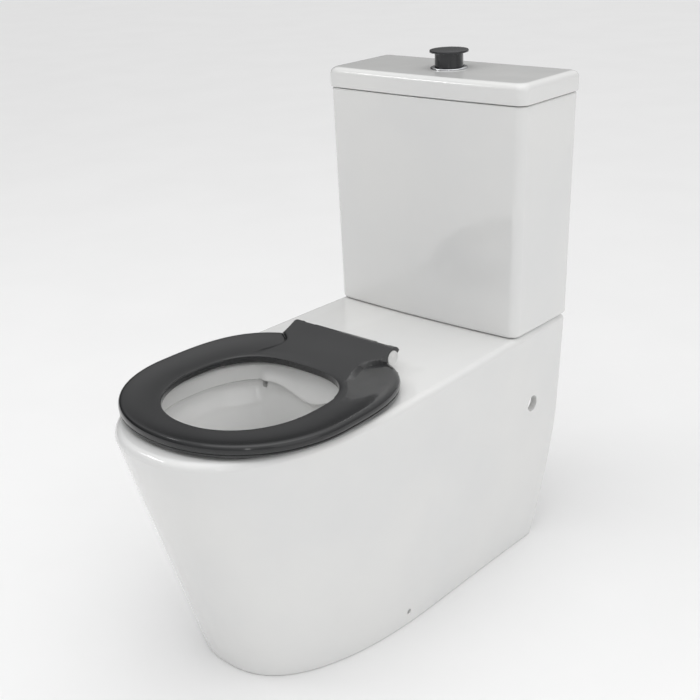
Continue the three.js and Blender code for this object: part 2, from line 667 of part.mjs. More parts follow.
// ---- Floor fixings inside the skirt --------------------------------------------------------------
function floorParts() {
  const { y, z } = FLOOR_SCREW;
  sides((side, sign) => {
    const span = (inner, outer) => (sign > 0 ? [inner, outer] : [-outer, -inner]);
    const foot = box(...span(98, 144), y - 18, y + 18, 0, 5);
    const plate = box(...span(138, 144), y - 18, y + 18, 0, 45);
    const screwHole = bar(3.3, ...span(130, 150), y, z, 10);
    const anchorHole = post(4, -5, 10, 12, sign * 116, y);
    piece("floor_bracket_" + side, whitePlastic, cut(join(foot, plate), screwHole, anchorHole));
    const screw = join(bar(3, ...span(128, 158), y, z, 10), bar(4.1, ...span(156, 159), y, z, 12));
    piece("side_screw_" + side, steel, screw);
  });
}

piece("pan", china, pan());
piece("cistern_tank", china, tank());
piece("cistern_lid", china, lid());
buttonParts();
flushValveParts();
fillValveParts();
couplingParts();
seatParts();
floorParts();

export default toilet;
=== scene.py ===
import json
import math

import bmesh
import bpy
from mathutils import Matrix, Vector


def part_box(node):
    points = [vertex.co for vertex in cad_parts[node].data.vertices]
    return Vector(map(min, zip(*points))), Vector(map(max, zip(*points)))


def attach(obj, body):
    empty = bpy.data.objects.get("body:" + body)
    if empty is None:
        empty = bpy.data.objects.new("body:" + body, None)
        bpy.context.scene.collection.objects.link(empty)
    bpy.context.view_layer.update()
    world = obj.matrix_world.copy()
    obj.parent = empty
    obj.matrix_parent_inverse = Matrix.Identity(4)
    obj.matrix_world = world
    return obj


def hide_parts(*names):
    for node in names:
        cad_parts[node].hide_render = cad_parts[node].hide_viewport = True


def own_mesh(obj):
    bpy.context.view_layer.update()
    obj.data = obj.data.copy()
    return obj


# The looks of a raised-height close coupled toilet: a back-to-wall china pan with a full skirt, a china
# cistern with a raised push button, and a dark grey seat ring on a wrapped barrel hinge. Metres, +Z up,
# the front faces -Y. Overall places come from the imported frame, and details are the named sizes below.
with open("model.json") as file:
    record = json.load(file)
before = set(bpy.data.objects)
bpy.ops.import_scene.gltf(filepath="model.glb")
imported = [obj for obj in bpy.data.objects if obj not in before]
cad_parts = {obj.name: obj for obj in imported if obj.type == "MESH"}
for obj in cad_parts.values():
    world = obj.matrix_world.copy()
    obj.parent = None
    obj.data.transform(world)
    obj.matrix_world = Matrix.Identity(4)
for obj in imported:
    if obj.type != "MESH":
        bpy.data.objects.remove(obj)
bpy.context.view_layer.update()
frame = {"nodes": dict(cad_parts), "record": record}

# ---- Places taken from the frame ---------------------------------------------------------------
PAN_LOW, PAN_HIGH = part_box("pan")
TANK_LOW, TANK_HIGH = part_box("cistern_tank")
LID_LOW, LID_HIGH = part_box("cistern_lid")
CAP_LOW, CAP_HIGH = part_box("flush_button")
BEZEL_LOW, BEZEL_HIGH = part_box("button_bezel")
SEAT_LOW, SEAT_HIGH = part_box("seat_ring")
ROD_LOW, ROD_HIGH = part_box("hinge_rod")
BARREL_LOW, BARREL_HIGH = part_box("hinge_barrel_right")
SCREW_LOW, SCREW_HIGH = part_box("side_screw_right")
SPRING_LOW, SPRING_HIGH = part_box("button_spring")

DECK = PAN_HIGH.z
WALL_Y = PAN_HIGH.y
TIP_Y = PAN_LOW.y
VALVE_Y = (CAP_LOW.y + CAP_HIGH.y) / 2
HINGE_Y = (ROD_LOW.y + ROD_HIGH.y) / 2
HINGE_Z = (ROD_LOW.z + ROD_HIGH.z) / 2
SCREW_Y = (SCREW_LOW.y + SCREW_HIGH.y) / 2
SCREW_Z = (SCREW_LOW.z + SCREW_HIGH.z) / 2

# ---- Pan ---------------------------------------------------------------------------------------
DECK_ROUND = 0.012
DECK_THICK = 0.014
CHINA = 0.012
FOOT_ROUND = 0.002
REAR_ROUND = 0.003
TOP_PLAN = {"back": WALL_Y, "wide": -0.062, "tip": TIP_Y, "rear": 0.185, "half": PAN_HIGH.x, "power": 2.3}
FOOT_PLAN = {"back": 0.340, "wide": 0.066, "tip": -0.280, "rear": 0.164, "half": 0.161, "power": 2.5}
UPRIGHT_Z = 0.250  # the rear edge is upright above this height and runs in below it
FIXING_HOLE = {"r": 0.014, "y": 0.311, "z": 0.283, "flare": 0.0022}
SCREW_HOLE = {"r": 0.0045, "y": SCREW_Y, "z": SCREW_Z, "flare": 0.001}
TANK_BOLT_X = 0.085  # the two bolts that hold the cistern down
FILL_X = -0.140  # the shank of the fill valve
HINGE_BOLT_X = 0.0775
PIN_R = 0.0043  # the holes for the hinge's rod and bolts

MOUTH = {"half": 0.137, "front": -0.346, "back": -0.052}
MOUTH_ROUND = 0.008
LEDGE_Z = 0.399
REAR_POWER = 2.6
BOWL_ROWS = (  # height, half width, front and back of the bowl's inside, with a groove under the rim
    (LEDGE_Z, 0.1370, -0.3460, -0.0520),
    (LEDGE_Z - 0.0008, 0.1377, -0.3467, -0.0513),
    (LEDGE_Z - 0.0022, 0.1390, -0.3480, -0.0502),
    (LEDGE_Z - 0.0050, 0.1402, -0.3492, -0.0492),
    (LEDGE_Z - 0.0090, 0.1405, -0.3494, -0.0488),
    (0.3840, 0.1388, -0.3474, -0.0494),
    (0.3765, 0.1340, -0.3432, -0.0505),
    (0.3660, 0.1268, -0.3365, -0.0512),
    (0.3500, 0.1186, -0.3245, -0.0515),
    (0.3200, 0.1090, -0.3065, -0.0515),
    (0.2900, 0.1000, -0.2890, -0.0512),
    (0.2600, 0.0905, -0.2690, -0.0508),
    (0.2300, 0.0800, -0.2480, -0.0502),
    (0.2000, 0.0685, -0.2240, -0.0500),
    (0.1700, 0.0580, -0.2000, -0.0500),
    (0.1420, 0.0500, -0.1820, -0.0510),
    (0.1180, 0.0440, -0.1700, -0.0530),
    (0.1040, 0.0390, -0.1600, -0.0575),
    (0.0970, 0.0300, -0.1450, -0.0680),
    (0.0960, 0.0150, -0.1250, -0.0900),
)
HOOD = {"half": 0.090, "arch": 0.082, "edge": 0.3745, "bulge": 0.009, "blend": 0.012}
GROOVE = {"deeper": 0.005, "reach": 0.120}  # the rim groove is deeper where the flush water enters it
HOOD_FLOOR = 0.300  # the hood's rows are back on the plain bowl at this height
CHANNEL = {"half": 0.038, "low": 0.368, "high": 0.404, "wall": 0.008}
BOWL_WALL = 0.013
BOWL_STEPS = 192
OUTLET_R = 0.040
OUTLET_WALL = 0.010
OUTLET_END = 0.380
TRAP_ROUTE = (
    (0, -0.110, 0.138), (0, -0.040, 0.136), (0, 0.030, 0.156), (0, 0.100, 0.214), (0, 0.165, 0.228),
    (0, 0.240, 0.196), (0, 0.310, 0.185), (0, OUTLET_END, 0.185),
)

# ---- Cistern -----------------------------------------------------------------------------------
TANK_CORNER = 0.017
TANK_REAR_CORNER = 0.008
TANK_BOW = 0.005
TANK_EDGE = 0.006
TANK_WALL = 0.009
TANK_FLOOR = 0.012
TANK_DRAFT = 0.007  # how much wider each side is at the top than at the bottom
TANK_RIM = 0.0025
TANK_FOOT = 0.016  # how wide the foot is that the cistern stands on
TANK_FRONT_Y = TANK_LOW.y + TANK_BOW
LID_EDGE = 0.011
LID_SPREAD = 1.006  # the lid flares a little past the cistern at each end
LID_RIM = 0.016
LID_TOP = 0.008
BUTTON_NECK = 0.0235

# ---- Seat --------------------------------------------------------------------------------------
SEAT_PLAN = {"half": 0.195, "wide": -0.190, "tip": -0.377, "back": 0.022, "front": 2.1, "rear": 3.0}
HOLE_PLAN = {"half": 0.1235, "wide": -0.188, "tip": -0.321, "back": -0.069, "front": 2.1, "rear": 2.8}
SEAT_SECTION = (  # share of the way from the inner edge to the outer one, and height above the seat's base
    (0.000, 0.0042), (0.000, 0.0080), (0.010, 0.0103), (0.030, 0.0117), (0.070, 0.0122), (0.200, 0.0119),
    (0.380, 0.0119), (0.540, 0.0125), (0.680, 0.0139), (0.790, 0.0156), (0.860, 0.0166), (0.905, 0.0170),
    (0.945, 0.0165), (0.975, 0.0149), (0.993, 0.0122), (1.000, 0.0092), (0.998, 0.0066), (0.990, 0.0054),
    (0.976, 0.0050), (0.976, 0.0041), (0.990, 0.0037), (0.994, 0.0026), (0.986, 0.0008), (0.970, 0.0000),
    (0.860, 0.0000), (0.845, 0.0006), (0.835, 0.0030), (0.200, 0.0030), (0.185, 0.0006), (0.165, 0.0000),
    (0.060, 0.0000), (0.022, 0.0006), (0.005, 0.0020),
)
BLOCK = {"half": 0.1035, "wrap": 0.0185, "waist": 0.086, "waist_y": -0.026}
PLATEAU = (  # how far back and how high the raised block's top is, from the hole to the hinge
    (-0.130, 0.4440), (-0.100, 0.4445), (-0.078, 0.4452), (-0.062, 0.4464), (-0.040, 0.4490),
    (-0.020, 0.4523), (-0.0065, 0.4556), (0.004, 0.4592), (0.0125, 0.4628), (0.0188, 0.4656),
)
BARREL_R = (BARREL_HIGH.y - BARREL_LOW.y) / 2
SEAT_CUT_Z = (0.40, 0.50)  # heights below and above the whole seat, for its cutters


# ---- Mesh tools --------------------------------------------------------------------------------
def mix(low, high, share):
    return low + (high - low) * share


def smooth_step(share):
    share = min(1.0, max(0.0, share))
    return share * share * (3 - 2 * share)


def signed_power(value, power):
    return math.copysign(abs(value) ** power, value)


def new_object(name, points, faces):
    mesh = bpy.data.meshes.new(name)
    mesh.from_pydata([tuple(p) for p in points], [], faces)
    mesh.update()
    made = bpy.data.objects.new(name, mesh)
    bpy.context.scene.collection.objects.link(made)
    return made


def face_outwards(made):
    mesh = bmesh.new()
    mesh.from_mesh(made.data)
    bmesh.ops.recalc_face_normals(mesh, faces=mesh.faces)
    mesh.to_mesh(made.data)
    mesh.free()
    return made


def loft(name, rings, closed=False):
    """A solid skin over rings of equal count. The ends are capped, or joined if closed is true."""
    count = len(rings[0])
    points = [p for ring in rings for p in ring]
    faces = []
    last = len(rings) if closed else len(rings) - 1
    for k in range(last):
        low = k * count
        high = ((k + 1) % len(rings)) * count
        for i in range(count):
            j = (i + 1) % count
            faces.append((low + i, low + j, high + j, high + i))
    if not closed:
        faces.append(tuple(reversed(range(count))))
        faces.append(tuple(range(len(points) - count, len(points))))
    return face_outwards(new_object(name, points, faces))


def turned(name, outline, centre, steps=96):
    """A solid turned about an upright axis through centre, from (radius, height) points.
    The outline starts and ends on the axis, or closes on itself."""
    on_axis = outline[0][0] == 0
    body = outline[1:-1] if on_axis else outline
    rings = []
    for radius, height in body:
        ring = []
        for i in range(steps):
            angle = 2 * math.pi * i / steps
            x = centre[0] + radius * math.cos(angle)
            y = centre[1] + radius * math.sin(angle)
            ring.append((x, y, centre[2] + height))
        rings.append(ring)
    return loft(name, rings, closed=not on_axis)


def rounded(outline, radius, steps=5):
    """The closed outline with each corner rounded. radius is one number, or one for each corner."""
    count = len(outline)
    result = []
    for i in range(count):
        here = Vector(outline[i])
        before = Vector(outline[i - 1])
        after = Vector(outline[(i + 1) % count])
        size = radius[i] if isinstance(radius, (list, tuple)) else radius
        reach = min(size, (before - here).length * 0.49, (after - here).length * 0.49)
        if reach < 1e-6:
            result.append(tuple(here))
            continue
        start = here + (before - here).normalized() * reach
        end = here + (after - here).normalized() * reach
        for k in range(steps + 1):
            t = k / steps
            result.append(tuple(start * (1 - t) ** 2 + here * 2 * t * (1 - t) + end * t * t))
    return result


def post(name, radius, low, high, x, y, steps=48):
    outline = [(0, low), (radius, low), (radius, high), (0, high)]
    return turned(name, outline, (x, y, 0), steps)


def block(name, low, high):
    corners = [(x, y, z) for z in (low[2], high[2]) for x, y in
               ((low[0], low[1]), (high[0], low[1]), (high[0], high[1]), (low[0], high[1]))]
    return loft(name, [corners[:4], corners[4:]])


def bar(name, radii, x_places, y, z, steps=48):
    """A turned solid about a line along X, with a radius at each place."""
    rings = []
    for radius, x in zip(radii, x_places):
        ring = []
        for i in range(steps):
            angle = 2 * math.pi * i / steps
            ring.append((x, y + radius * math.cos(angle), z + radius * math.sin(angle)))
        rings.append(ring)
    return loft(name, rings)


def curve_points(points, count):
    """Points along a smooth curve through the given ones."""
    padded = [Vector(points[0]) * 2 - Vector(points[1]), *map(Vector, points)]
    padded.append(Vector(points[-1]) * 2 - Vector(points[-2]))
    spans = len(points) - 1
    result = []
    for i in range(count + 1):
        place = i / count * spans
        k = min(int(place), spans - 1)
        t = place - k
        a, b, c, d = padded[k:k + 4]
        result.append(0.5 * (2 * b + (c - a) * t + (2 * a - 5 * b + 4 * c - d) * t ** 2
                             + (3 * b - a - 3 * c + d) * t ** 3))
    return result


def tube(name, points, radius, steps=40, sections=56):
    """A solid round bar along a curve that lies in an upright plane along Y."""
    path = curve_points(points, sections)
    rings = []
    for i, here in enumerate(path):
        ahead = (path[min(i + 1, sections)] - path[max(i - 1, 0)]).normalized()
        side = Vector((1, 0, 0))
        lift = ahead.cross(side)
        ring = []
        for k in range(steps):
            angle = 2 * math.pi * k / steps
            ring.append(here + radius * (math.cos(angle) * side + math.sin(angle) * lift))
        rings.append(ring)
    return loft(name, rings)


def combine(body, operation, tools):
    """The body joined with or cut by the tools, which are used up."""
    for tool in tools:
        step = body.modifiers.new(operation, "BOOLEAN")
        step.operation = operation
        step.solver = "MANIFOLD"
        step.object = tool
    bpy.context.view_layer.update()
    graph = bpy.context.evaluated_depsgraph_get()
    made = bpy.data.meshes.new_from_object(body.evaluated_get(graph))
    body.modifiers.clear()
    body.data = made
    for tool in tools:
        bpy.data.objects.remove(tool)
    return body


def join(body, *tools):
    return combine(body, "UNION", tools)


def cut(body, *tools):
    return combine(body, "DIFFERENCE", tools)


def shade(made, angle=34):
    made.data.shade_smooth()
    made.data.set_sharp_from_angle(angle=math.radians(angle))
    weighted = made.modifiers.new("even_shading", "WEIGHTED_NORMAL")
    weighted.keep_sharp = True
    weighted.weight = 60
    return made


def settle(made, body, slot, material, *nodes, angle=34):
    """Shades and paints a finished piece, ties it to its body and hides the CAD nodes that it stands for."""
    shade(made, angle)
    made.data.materials.clear()
    made.data.materials.append(material)
    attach(made, body)
    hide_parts(*nodes)
    return made


# ---- Pan outside -------------------------------------------------------------------------------
def rear_edge(z):
    below = max(0.0, (UPRIGHT_Z - z) / UPRIGHT_Z)
    return WALL_Y - (WALL_Y - FOOT_PLAN["back"]) * below ** 1.6


def plan_at(z):
    share = min(1.0, max(0.0, z) / (DECK - DECK_ROUND))
    return {key: mix(FOOT_PLAN[key], TOP_PLAN[key], share) for key in TOP_PLAN}


def skirt_half(y, z, inset=0.0):
    """Half the skirt's width at a place behind its widest line."""
    plan = plan_at(z)
    share = (y - plan["wide"]) / (rear_edge(z) - plan["wide"])
    return mix(plan["half"], plan["rear"], max(0.0, share) ** 2) - inset


def skirt_side(z, inset, opened):
    """The right side of the skirt's plan, from its rear end forward to the widest line."""
    plan = plan_at(z)
    back = rear_edge(z) - inset
    side = []
    round_steps = 6
    if opened:
        back = rear_edge(z)
        side.append((skirt_half(back, z, inset) + REAR_ROUND, back + 0.05))
    for i in range(round_steps + 1):
        angle = math.pi / 2 * (1 - i / round_steps)
        y = back - REAR_ROUND * (1 - math.sin(angle))
        away = REAR_ROUND * (1 - math.cos(angle))
        side.append((skirt_half(y, z, inset) + (away if opened else -away), y))
    straight = 22
    for i in range(1, straight + 1):
        y = mix(back - REAR_ROUND, plan["wide"], i / straight)
        side.append((skirt_half(y, z, inset), y))
    return side


def skirt_ring(z, inset=0.0, opened=False):
    plan = plan_at(z)
    side = skirt_side(z, inset, opened)
    nose = []
    steps = 96
    for i in range(1, steps):
        angle = math.pi * i / steps
        across = signed_power(math.cos(angle), 2 / plan["power"])
        ahead = math.sin(angle) ** (2 / plan["power"])
        nose.append(((plan["half"] - inset) * across, mix(plan["wide"], plan["tip"] + inset, ahead)))
    left = [(-x, y) for x, y in reversed(side)]
    return [(x, y, z) for x, y in side + nose + left]


def skirt_outside():
    rings = [skirt_ring(0.0, FOOT_ROUND), skirt_ring(FOOT_ROUND * 0.3, FOOT_ROUND * 0.3)]
    straight = 30
    top = DECK - DECK_ROUND
    rings += [skirt_ring(mix(FOOT_ROUND, top, i / straight)) for i in range(straight + 1)]
    steps = 9
    for i in range(1, steps + 1):
        angle = math.pi / 2 * i / steps
        rings.append(skirt_ring(top + DECK_ROUND * math.sin(angle), DECK_ROUND * (1 - math.cos(angle))))
    return loft("pan", rings)


def skirt_inside():
    steps = 18
    top = DECK - DECK_THICK
    heights = [-0.01] + [mix(0.0, top, i / steps) for i in range(steps + 1)]
    return loft("hollow", [skirt_ring(z, CHINA, opened=True) for z in heights])


# ---- Bowl --------------------------------------------------------------------------------------
def bowl_point(angle, half, front, back, grow=0.0):
    """A point of the bowl's plan, and the way straight out from the middle there."""
    across = math.cos(angle)
    along = math.sin(angle)
    power = 2 / (REAR_POWER if along > 0 else 2)
    middle = (front + back) / 2
    x = (half + grow) * signed_power(across, power)
    y = middle + ((back - front) / 2 + grow) * signed_power(along, power)
    return Vector((x, y)), middle


def hood_share(point, angle):
    """1 on the hood that spreads the flush water at the back of the bowl, and 0 away from it."""
    if math.sin(angle) <= 0:
        return 0.0
    return smooth_step((HOOD["half"] + HOOD["blend"] / 2 - abs(point.x)) / HOOD["blend"])


def hood_edge(point):
    """The height of the hood's lower edge, an arch that hangs down in the middle."""
    return mix(HOOD["edge"], LEDGE_Z, smooth_step(abs(point.x) / HOOD["arch"]))


def groove_share(point, z):
    """1 in the groove beside a flush slot, fading to 0 along the bowl's side and out of the groove."""
    along = smooth_step(1 - (MOUTH["back"] - 0.015 - point.y) / GROOVE["reach"])
    height = smooth_step((LEDGE_Z - z) / 0.006) * smooth_step((z - 0.350) / 0.030)
    return along * height


def bowl_row(row):
    z, half, front, back = row
    ring = []
    for i in range(BOWL_STEPS):
        angle = 2 * math.pi * i / BOWL_STEPS
        point, middle = bowl_point(angle, half, front, back)
        share = hood_share(point, angle)
        edge = mix(LEDGE_Z, hood_edge(point), share)
        if z >= LEDGE_Z:
            top = DECK - MOUTH_ROUND
            depth = (top - z) / (top - LEDGE_Z)
            height = mix(top, edge, depth)
            pull = HOOD["bulge"] * share * smooth_step(depth)
        else:
            depth = (LEDGE_Z - z) / (LEDGE_Z - HOOD_FLOOR)
            height = z if depth >= 1 else mix(edge, HOOD_FLOOR, depth)
            drop = smooth_step((LEDGE_Z - z) / 0.004)
            pull = mix(share * HOOD["bulge"], -GROOVE["deeper"] * (1 - share) * groove_share(point, z), drop)
        inward = (Vector((0, middle)) - point).normalized() * pull
        ring.append((point.x + inward.x, point.y + inward.y, height))
    return ring


def bowl_cutter():
    """The space inside the bowl, with a rounded mouth that runs out level with the deck."""
    rings = []
    steps = 8
    tops = [(DECK + 0.003, MOUTH_ROUND)]
    for i in range(steps + 1):
        angle = math.pi / 2 * i / steps
        lift = MOUTH_ROUND * math.cos(angle) - (0.00002 if i == 0 else 0)
        tops.append((DECK - MOUTH_ROUND + lift, MOUTH_ROUND * (1 - math.sin(angle))))
    for z, grow in tops:
        ring = []
        for i in range(BOWL_STEPS):
            around = 2 * math.pi * i / BOWL_STEPS
            point, _ = bowl_point(around, MOUTH["half"], MOUTH["front"], MOUTH["back"], grow)
            ring.append((point.x, point.y, z))
        rings.append(ring)
    wall = 6
    top = DECK - MOUTH_ROUND
    for i in range(1, wall):
        share = i / wall
        z = mix(top, LEDGE_Z, share)
        mouth = (MOUTH["half"], MOUTH["front"], MOUTH["back"])
        sizes = [mix(above, below, share) for above, below in zip(mouth, BOWL_ROWS[0][1:])]
        rings.append(bowl_row((z, *sizes)))
    rings += [bowl_row(row) for row in BOWL_ROWS]
    return loft("bowl_space", rings)


def bowl_wall():
    """The bowl's outside, on fewer rows beside the groove."""
    steps = 96
    rings = []
    for z, half, front, back in (BOWL_ROWS[0], *BOWL_ROWS[4:]):
        low = z - (BOWL_WALL if z == BOWL_ROWS[-1][0] else 0)
        ring = []
        for i in range(steps):
            point, _ = bowl_point(2 * math.pi * i / steps, half, front, back, BOWL_WALL)
            ring.append((point.x, point.y, low))
        rings.append(ring)
    top = [(x, y, DECK - 0.004) for x, y, _ in rings[0]]
    return loft("bowl_wall", [top, *rings])


def slot_cutter(sign):
    """One of the two slots beside the hood that let the flush water out."""
    low = Vector((HOOD["half"] - 0.003, -0.11, LEDGE_Z - 0.017))
    high = Vector((HOOD["half"] + 0.006, -0.030, LEDGE_Z + 0.001))
    outline = rounded([(low.x, low.z), (high.x, low.z), (high.x, high.z), (low.x, high.z)], 0.0035)
    rings = [[(sign * x, y, z) for x, z in outline] for y in (low.y, high.y)]
    return loft("slot", rings)


def hole_cutter(name, spot, sign):
    """A hole through the skirt's side whose outer edge is softened."""
    surface = skirt_half(spot["y"], spot["z"])
    flare = spot["flare"]
    places = [surface - 0.05, surface - flare]
    radii = [spot["r"], spot["r"]]
    for i in range(1, 6):
        angle = math.pi / 2 * i / 5
        places.append(surface - flare * (1 - math.sin(angle)))
        radii.append(spot["r"] + flare * (1 - math.cos(angle)))
    places.append(surface + 0.02)
    radii.append(spot["r"] + flare)
    return bar(name, radii, [sign * x for x in places], spot["y"], spot["z"])


def pan_holes():
    """The round holes in the pan's deck and in both sides of its skirt."""
    low, high = DECK - 0.04, DECK + 0.005
    holes = [post("bolt", 0.007, low, high, x, VALVE_Y, 24) for x in (-TANK_BOLT_X, TANK_BOLT_X)]
    holes += [post("hinge", 0.006, low, high, x, HINGE_Y, 24) for x in (-HINGE_BOLT_X, HINGE_BOLT_X)]
    holes.append(post("fill", 0.024, low, high, FILL_X, VALVE_Y))
    holes += [hole_cutter("fixing", FIXING_HOLE, sign) for sign in (-1, 1)]
    holes += [hole_cutter("screw", SCREW_HOLE, sign) for sign in (-1, 1)]
    return holes


def make_pan(material):
    half, low, high, wall = CHANNEL["half"], CHANNEL["low"], CHANNEL["high"], CHANNEL["wall"]
    under = low - wall
    body = cut(skirt_outside(), skirt_inside())
    join(
        body,
        bowl_wall(),
        tube("trap_wall", [(0, -0.070, 0.138), *TRAP_ROUTE[1:]], OUTLET_R + OUTLET_WALL),
        block("channel_wall", (-half - wall, -0.06, under), (half + wall, VALVE_Y + 0.02, DECK - 0.005)),
        block("hood_wall", (-0.110, -0.112, under), (0.110, -0.016, DECK - 0.005)),
        post("inlet_wall", 0.062, under, DECK - 0.005, 0, VALVE_Y),
    )
    cut(
        body,
        bowl_cutter(),
        tube("trap_space", [*TRAP_ROUTE[:-1], (0, OUTLET_END + 0.02, TRAP_ROUTE[-1][2])], OUTLET_R),
        block("channel", (-half, -0.032, low), (half, VALVE_Y + 0.012, high)),
        block("hood", (-0.101, MOUTH["back"] + 0.008, low), (0.101, -0.024, high)),
        *[slot_cutter(sign) for sign in (-1, 1)],
        post("inlet", 0.050, 0.401, DECK + 0.005, 0, VALVE_Y),
        post("inlet_low", 0.034, low + 0.002, DECK, 0, VALVE_Y),
        *pan_holes(),
    )
    return settle(body, "pan_and_cistern", "vitreous_china", material, "pan")


# ---- Cistern and lid ---------------------------------------------------------------------------
def tank_plan(half, grow=0.0):
    """The cistern's plan: rounded corners and a slightly bowed front, all moved out by grow."""
    front = TANK_FRONT_Y
    back = TANK_HIGH.y
    points = []
    arc = 14
    middle = (front + back) / 2
    depth = (back - front) / 2
    for i in range(arc + 1):
        angle = math.pi / 2 * i / arc
        x = half - TANK_REAR_CORNER * (1 - math.cos(angle))
        points.append((x, back - TANK_REAR_CORNER * (1 - math.sin(angle))))
    for i in range(arc + 1):
        angle = math.pi / 2 + math.pi / 2 * i / arc
        x = -half + TANK_REAR_CORNER * (1 + math.cos(angle))
        points.append((x, back - TANK_REAR_CORNER * (1 - math.sin(angle))))
    for i in range(arc + 1):
        angle = math.pi + math.pi / 2 * i / arc
        x = -half + TANK_CORNER * (1 + math.cos(angle))
        points.append((x, front + TANK_CORNER * (1 + math.sin(angle))))
    bow_steps = 24
    reach = half - TANK_CORNER
    for i in range(1, bow_steps):
        x = mix(-reach, reach, i / bow_steps)
        points.append((x, front - TANK_BOW * (1 - (x / reach) ** 2)))
    for i in range(arc + 1):
        angle = math.pi * 1.5 + math.pi / 2 * i / arc
        x = half - TANK_CORNER * (1 - math.cos(angle))
        points.append((x, front + TANK_CORNER * (1 + math.sin(angle))))
    return [(x * (half + grow) / half, middle + (y - middle) * (depth + grow) / depth) for x, y in points]


def tank_half(z):
    share = min(1.0, max(0.0, (z - TANK_LOW.z) / (TANK_HIGH.z - TANK_LOW.z)))
    return TANK_HIGH.x - TANK_DRAFT * (1 - share)


def tank_ring(z, grow=0.0):
    return [(x, y, z) for x, y in tank_plan(tank_half(z), grow)]


def edge_rings(z, radius, way, grow=0.0, steps=8):
    """Rings of a rounded edge that ends at height z, going up (1) or down (-1)."""
    rings = []
    for i in range(steps + 1):
        angle = math.pi / 2 * i / steps
        height = z - way * radius * (1 - math.sin(angle))
        rings.append(tank_ring(height, grow - radius * (1 - math.cos(angle))))
    return rings if way > 0 else rings[::-1]


def make_tank(material):
    low, high = DECK + 0.0008, TANK_HIGH.z - 0.0006
    rim = TANK_RIM
    middle = [tank_ring(mix(low + TANK_EDGE, high - rim, i / 12)) for i in range(1, 12)]
    rings = [*edge_rings(low, TANK_EDGE, -1), *middle, *edge_rings(high, rim, 1, steps=3)]
    outside = loft("cistern_tank", rings)
    floor = TANK_LOW.z + TANK_FLOOR
    foot = loft("foot_hollow", [tank_ring(z, -TANK_FOOT) for z in (low - 0.005, TANK_LOW.z)])
    corner = 0.012
    inner = edge_rings(floor, corner, -1, -TANK_WALL)
    inner += [tank_ring(mix(floor + corner, high - rim, i / 8), -TANK_WALL) for i in range(1, 9)]
    inner += [tank_ring(high, -TANK_WALL + rim), tank_ring(high + 0.005, -TANK_WALL + rim)]
    holes = [(0.032, 0), (0.0055, -TANK_BOLT_X), (0.0055, TANK_BOLT_X), (0.012, FILL_X)]
    tools = [post("hole", r, low, floor + 0.005, x, VALVE_Y) for r, x in holes]
    body = cut(outside, foot, loft("tank_space", inner), *tools)
    return settle(body, "pan_and_cistern", "vitreous_china", material, "cistern_tank")


def make_lid(material):
    low, high = TANK_HIGH.z + 0.001, LID_HIGH.z
    grow = LID_HIGH.x - TANK_HIGH.x
    foot = 0.002
    bottom = edge_rings(low, foot, -1, grow, 4)
    middle = [tank_ring(mix(low + foot, high - LID_EDGE, i / 5), grow) for i in range(1, 5)]
    outside = loft("cistern_lid", [*bottom, *middle, *edge_rings(high, LID_EDGE, 1, grow, 10)])
    for point in outside.data.vertices:
        point.co.x *= LID_SPREAD
    inside_tank = -TANK_WALL - 0.002
    tongue = loft("tongue", [tank_ring(z, inside_tank) for z in (LID_LOW.z, low + 0.002)])
    hollow = loft("lid_space", [tank_ring(z, -LID_RIM) for z in (LID_LOW.z - 0.005, high - LID_TOP)])
    hole = post("button_hole", 0.0272, high - LID_TOP - 0.005, high + 0.005, 0, VALVE_Y, 64)
    body = cut(join(outside, tongue), hollow, hole)
    return settle(body, "lid", "vitreous_china", material, "cistern_lid")


# ---- Button ------------------------------------------------------------------------------------
def make_button(material):
    top = LID_HIGH.z
    neck, cap, flange = BUTTON_NECK, (CAP_HIGH.x - CAP_LOW.x) / 2, 0.004
    crown = CAP_HIGH.z - top
    low = crown - 0.0052
    outline = [
        (0, low - 0.002), (neck - 0.003, low - 0.002), (neck - 0.003, -0.0055), (neck - 0.0015, -0.006),
        (neck, -0.0055), (neck, low - 0.0025), (neck + 0.0004, low - 0.0012), (neck + 0.0016, low),
        (cap - 0.0012, low), (cap - 0.0003, low + 0.0004), (cap, low + 0.0013), (cap, low + flange - 0.0016),
        (cap - 0.0004, low + flange - 0.0006), (cap - 0.0014, low + flange),
    ]
    dome = 10
    for i in range(1, dome):
        share = 1 - i / dome
        outline.append(((cap - 0.0014) * share, mix(crown, low + flange, share ** 2)))
    outline.append((0, crown))
    button = turned("flush_button", outline, (0, VALVE_Y, top), 128)
    settle(button, "button", "button_grey", material, "flush_button")


def make_bezel(material):
    """The chrome ring round the button, which reaches down through the lid."""
    top = LID_HIGH.z
    ring_r = (BEZEL_HIGH.x - BEZEL_LOW.x) / 2
    rise = BEZEL_HIGH.z - top
    outer, inner = 0.0266, 0.0241
    drop = top - BEZEL_LOW.z
    section = [
        (0.0075, -drop), (outer, -drop), (outer, 0.0003), (ring_r - 0.0004, 0.0003),
        (ring_r, 0.0007), (ring_r - 0.0001, 0.0013), (ring_r - 0.0006, 0.0020),
        (ring_r - 0.0016, 0.0026), (ring_r - 0.003, rise),
        (inner + 0.0012, rise), (inner + 0.0004, rise - 0.0003), (inner, rise - 0.0011),
        (inner, 0.003 - drop), (0.0075, 0.003 - drop),
    ]
    bezel = turned("button_bezel", section, (0, VALVE_Y, top), 128)
    settle(bezel, "lid", "chrome_ring", material, "button_bezel")


# ---- Seat --------------------------------------------------------------------------------------
def egg_point(plan, angle):
    across = math.cos(angle)
    along = math.sin(angle)
    power = 2 / (plan["front"] if along < 0 else plan["rear"])
    reach = plan["wide"] - plan["tip"] if along < 0 else plan["back"] - plan["wide"]
    x = plan["half"] * signed_power(across, power)
    return x, plan["wide"] + reach * signed_power(along, power)


